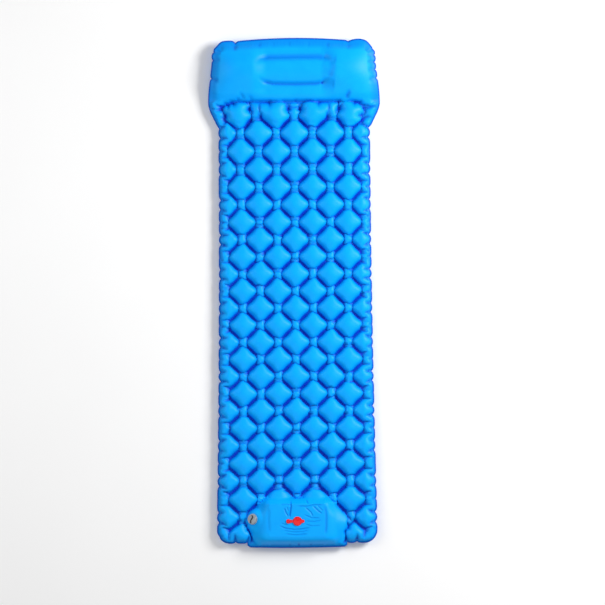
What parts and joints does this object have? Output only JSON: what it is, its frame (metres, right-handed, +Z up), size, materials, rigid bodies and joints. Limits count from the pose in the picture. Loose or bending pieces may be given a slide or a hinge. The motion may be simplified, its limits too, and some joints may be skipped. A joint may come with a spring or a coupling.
{
  "type": "inflatable camping mat",
  "caption": "Inflatable camping mat of two welded fabric sheets puffed into diamonds, with a built-in pillow, a foot pump with a capped inlet and a pull-out release valve.",
  "frame": {"origin": "on the floor under the middle of the mat's bounding box", "axes": "+Y towards the head (the pillow), +X to the right of a person who looks from the foot towards the head, +Z up; the mat lies flat on the floor"},
  "size_m": [0.64, 1.9, 0.096],
  "materials": {
    "coated_nylon": "satin film-coated weave",
    "sponge": "open-cell foam",
    "red_moulding": "glossy",
    "grey_plastic": "satin, slightly translucent",
    "milky_plastic": "milky",
    "silicone": "matte",
    "black_rubber": "matte"
  },
  "bodies": {
    "mat": {"lower_sheet": "coated_nylon", "upper_sheet": "coated_nylon", "pouch_wall": "coated_nylon", "pouch_floor": "coated_nylon", "pump_sponge": "sponge", "transfer_seat": "milky_plastic", "release_base": "grey_plastic"},
    "pump_top": {"pump_panel": "coated_nylon", "inlet_seat": "red_moulding", "inlet_anchor": "red_moulding", "inlet_strap": "red_moulding"},
    "inlet_lid": {"inlet_cap": "red_moulding"},
    "inlet_check": {"inlet_flap": "silicone"},
    "transfer_check": {"transfer_flap": "silicone"},
    "release_plug": {"release_insert": "milky_plastic", "release_seal": "silicone"},
    "release_lid": {"release_cap": "grey_plastic", "release_grip": "black_rubber"},
    "release_check": {"release_flap": "silicone"}
  },
  "joints": [
    {"name": "pump_press", "type": "slide", "parent": "mat", "child": "pump_top", "axis": [0, 0, -1], "range_m": [0, 0.028], "stiffness_N_per_m": 1500, "deforming": ["pump_sponge"]},
    {"name": "inlet_cap_hinge", "type": "hinge", "parent": "pump_top", "child": "inlet_lid", "pos_m": [-0.0195, -0.8487, 0.0753], "axis": [0, -1, 0], "range_deg": [0, 150]},
    {"name": "inlet_flap_lift", "type": "slide", "parent": "pump_top", "child": "inlet_check", "axis": [0, 0, -1], "range_m": [0, 0.0018], "stiffness_N_per_m": 20},
    {"name": "transfer_flap_lift", "type": "slide", "parent": "mat", "child": "transfer_check", "axis": [0, 0, -1], "range_m": [0, 0.0018], "stiffness_N_per_m": 20},
    {"name": "release_pull", "type": "slide", "parent": "mat", "child": "release_plug", "axis": [-0.5736, 0, 0.8192], "range_m": [0, 0.02]},
    {"name": "release_cap_turn", "type": "hinge", "parent": "release_plug", "child": "release_lid", "pos_m": [-0.166, -0.841, 0.0495], "axis": [-0.5736, 0, 0.8192], "range_deg": [0, 90]},
    {"name": "release_flap_lift", "type": "slide", "parent": "release_plug", "child": "release_check", "axis": [0.5736, 0, -0.8192], "range_m": [0, 0.0018], "stiffness_N_per_m": 20}
  ]
}
